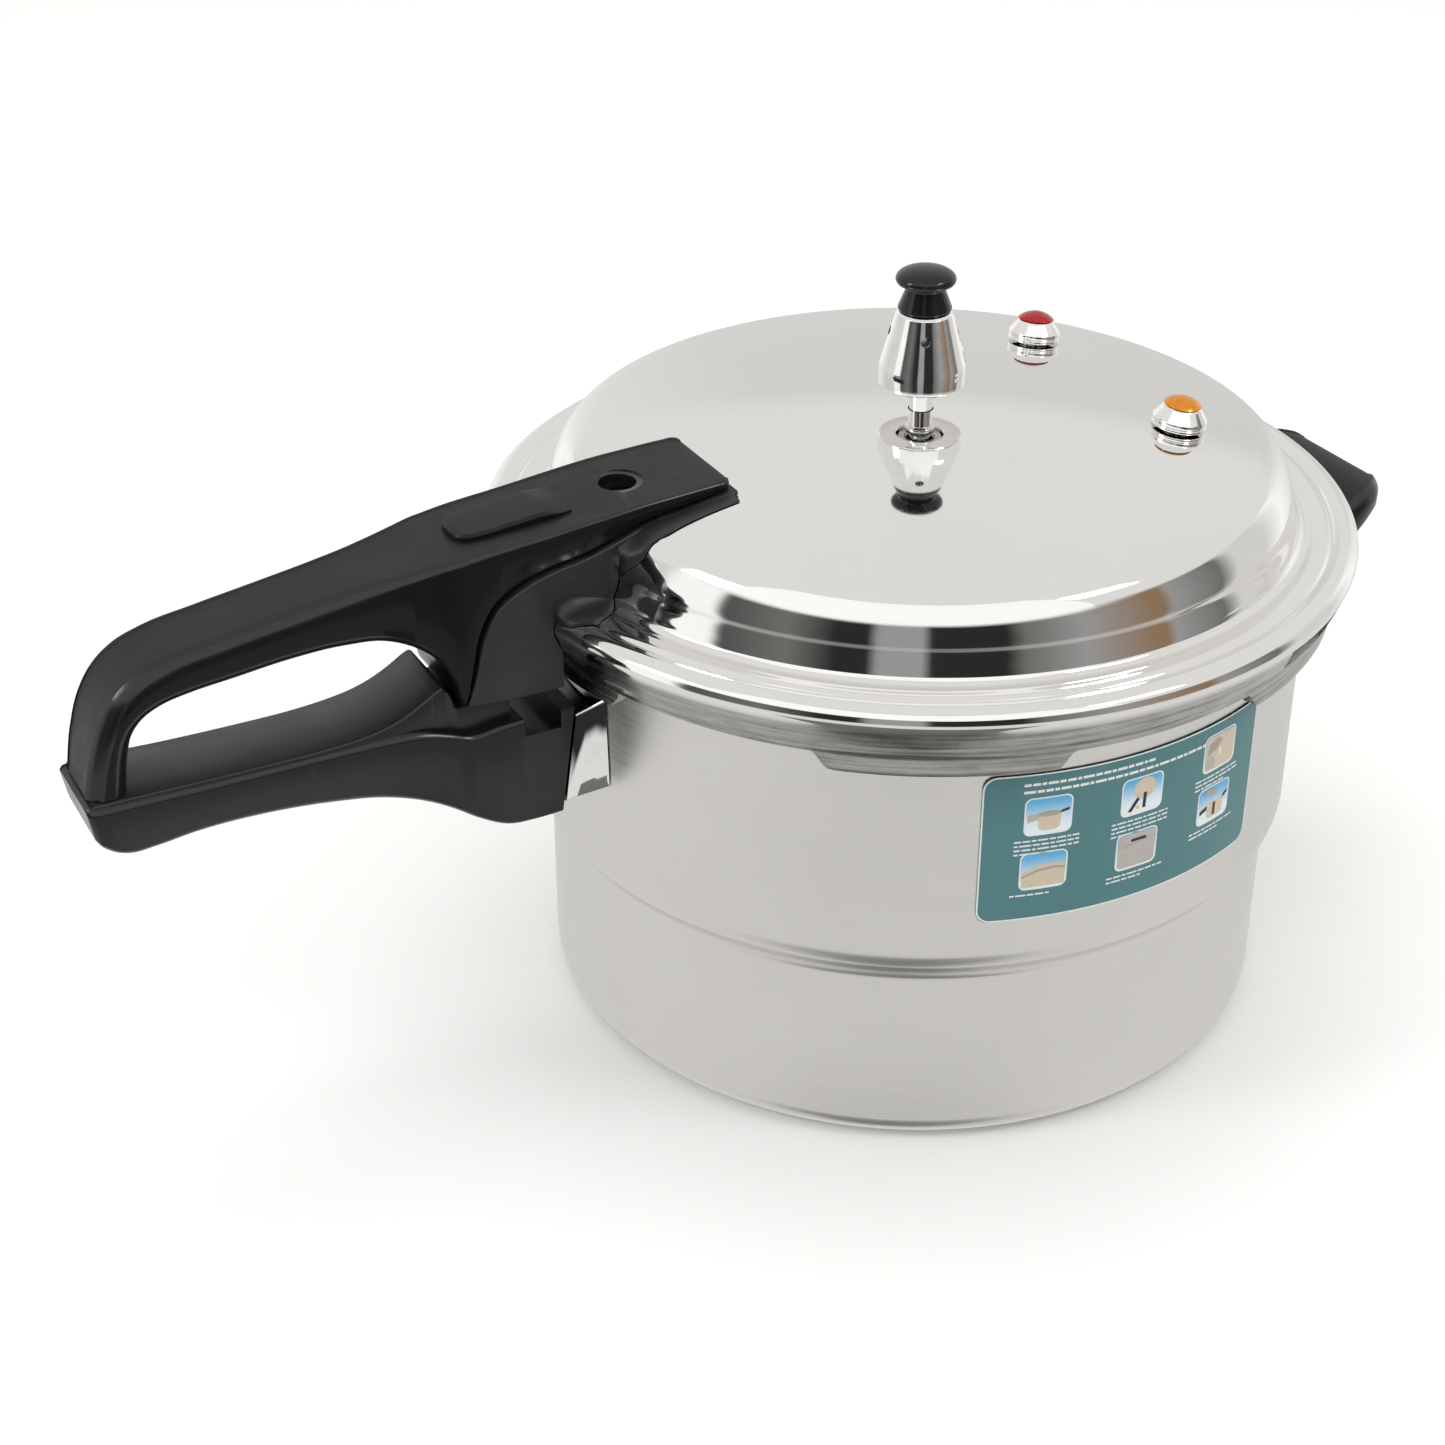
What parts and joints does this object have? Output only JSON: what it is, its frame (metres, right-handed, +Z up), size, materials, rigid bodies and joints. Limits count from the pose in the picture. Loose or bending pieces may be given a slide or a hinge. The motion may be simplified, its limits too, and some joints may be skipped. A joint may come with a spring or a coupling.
{
  "type": "stovetop pressure cooker",
  "caption": "Stepped aluminium pot with a turn-and-lock domed lid, a lift-off weight regulator, coloured safety valves, long paired black handles and a short side handle.",
  "frame": {"origin": "centre of the pot's flat bottom, on the surface it stands on", "axes": "+Z up, the two long handles point along -X and the short side handle along +X"},
  "size_m": [0.4481, 0.275, 0.2402],
  "materials": {
    "pot_body": "satin, brushed round the pot",
    "pot_handle": "moulded, satin top and gloss sides",
    "pot_handle_ferrule": "polished",
    "pot_handle_bracket": "plain",
    "pot_handle_rivet_left": "plain",
    "pot_handle_rivet_right": "plain",
    "pot_handle_screw": "plain",
    "side_handle": "moulded, satin top and gloss sides",
    "side_handle_bracket": "plain",
    "side_handle_rivet_left": "plain",
    "side_handle_rivet_right": "plain",
    "side_handle_screw": "plain",
    "instruction_label": "printed film",
    "lid_gasket": "soft white silicone",
    "lid_shell": "mirror polished",
    "lid_handle_cover": "moulded, satin top and gloss sides",
    "lid_handle_base": "moulded, satin top and gloss sides",
    "lid_handle_screw_left": "plain",
    "lid_handle_screw_right": "plain",
    "lid_handle_joint_screw": "plain",
    "vent_pipe": "polished",
    "vent_pipe_seal": "soft white silicone",
    "vent_pipe_nut": "plain",
    "anti_clog_guard": "plain",
    "regulator_shell": "polished",
    "regulator_core": "plain",
    "regulator_knob": "moulded, satin top and gloss sides",
    "regulator_screw": "plain",
    "float_bush": "plain",
    "float_seal": "soft white silicone",
    "float_pin": "plain",
    "red_valve_housing": "polished",
    "red_valve_seal": "soft white silicone",
    "red_valve_nut": "plain",
    "red_valve_stem": "plain",
    "red_valve_cap": "red anodised",
    "red_valve_spring": "plain",
    "orange_valve_housing": "polished",
    "orange_valve_seal": "soft white silicone",
    "orange_valve_nut": "plain",
    "orange_valve_stem": "plain",
    "orange_valve_cap": "orange anodised",
    "orange_valve_spring": "plain"
  },
  "bodies": {
    "pot": {"pot_body": "pot_body", "pot_handle": "pot_handle", "pot_handle_ferrule": "pot_handle_ferrule", "pot_handle_bracket": "pot_handle_bracket", "pot_handle_rivet_left": "pot_handle_rivet_left", "pot_handle_rivet_right": "pot_handle_rivet_right", "pot_handle_screw": "pot_handle_screw", "side_handle": "side_handle", "side_handle_bracket": "side_handle_bracket", "side_handle_rivet_left": "side_handle_rivet_left", "side_handle_rivet_right": "side_handle_rivet_right", "side_handle_screw": "side_handle_screw", "instruction_label": "instruction_label"},
    "gasket": {"lid_gasket": "lid_gasket"},
    "lid": {"lid_shell": "lid_shell", "lid_handle_cover": "lid_handle_cover", "lid_handle_base": "lid_handle_base", "lid_handle_screw_left": "lid_handle_screw_left", "lid_handle_screw_right": "lid_handle_screw_right", "lid_handle_joint_screw": "lid_handle_joint_screw", "vent_pipe": "vent_pipe", "vent_pipe_seal": "vent_pipe_seal", "vent_pipe_nut": "vent_pipe_nut", "anti_clog_guard": "anti_clog_guard", "float_bush": "float_bush", "float_seal": "float_seal", "red_valve_housing": "red_valve_housing", "red_valve_seal": "red_valve_seal", "red_valve_nut": "red_valve_nut", "red_valve_spring": "red_valve_spring", "orange_valve_housing": "orange_valve_housing", "orange_valve_seal": "orange_valve_seal", "orange_valve_nut": "orange_valve_nut", "orange_valve_spring": "orange_valve_spring"},
    "regulator": {"regulator_shell": "regulator_shell", "regulator_core": "regulator_core", "regulator_knob": "regulator_knob", "regulator_screw": "regulator_screw"},
    "float": {"float_pin": "float_pin"},
    "red_valve": {"red_valve_stem": "red_valve_stem", "red_valve_cap": "red_valve_cap"},
    "orange_valve": {"orange_valve_stem": "orange_valve_stem", "orange_valve_cap": "orange_valve_cap"}
  },
  "joints": [
    {"name": "lid_lift", "type": "slide", "parent": "pot", "child": "gasket", "axis": [0, 0, 1], "range_m": [0, 0.12]},
    {"name": "lid_turn", "type": "hinge", "parent": "gasket", "child": "lid", "pos_m": [0, 0, 0.15], "axis": [0, 0, 1], "range_deg": [0, 30]},
    {"name": "regulator_lift", "type": "slide", "parent": "lid", "child": "regulator", "axis": [0, 0, 1], "range_m": [0, 0.03]},
    {"name": "float_rise", "type": "slide", "parent": "lid", "child": "float", "axis": [-0.1641, 0, 0.9865], "range_m": [0, 0.0033]},
    {"name": "red_valve_lift", "type": "slide", "parent": "lid", "child": "red_valve", "axis": [0.1083, 0.0625, 0.9922], "range_m": [0, 0.003], "stiffness_N_per_m": 800, "springref_m": -0.003, "deforming": ["red_valve_spring"]},
    {"name": "orange_valve_lift", "type": "slide", "parent": "lid", "child": "orange_valve", "axis": [0.1083, -0.0625, 0.9922], "range_m": [0, 0.003], "stiffness_N_per_m": 800, "springref_m": -0.003, "deforming": ["orange_valve_spring"]}
  ]
}
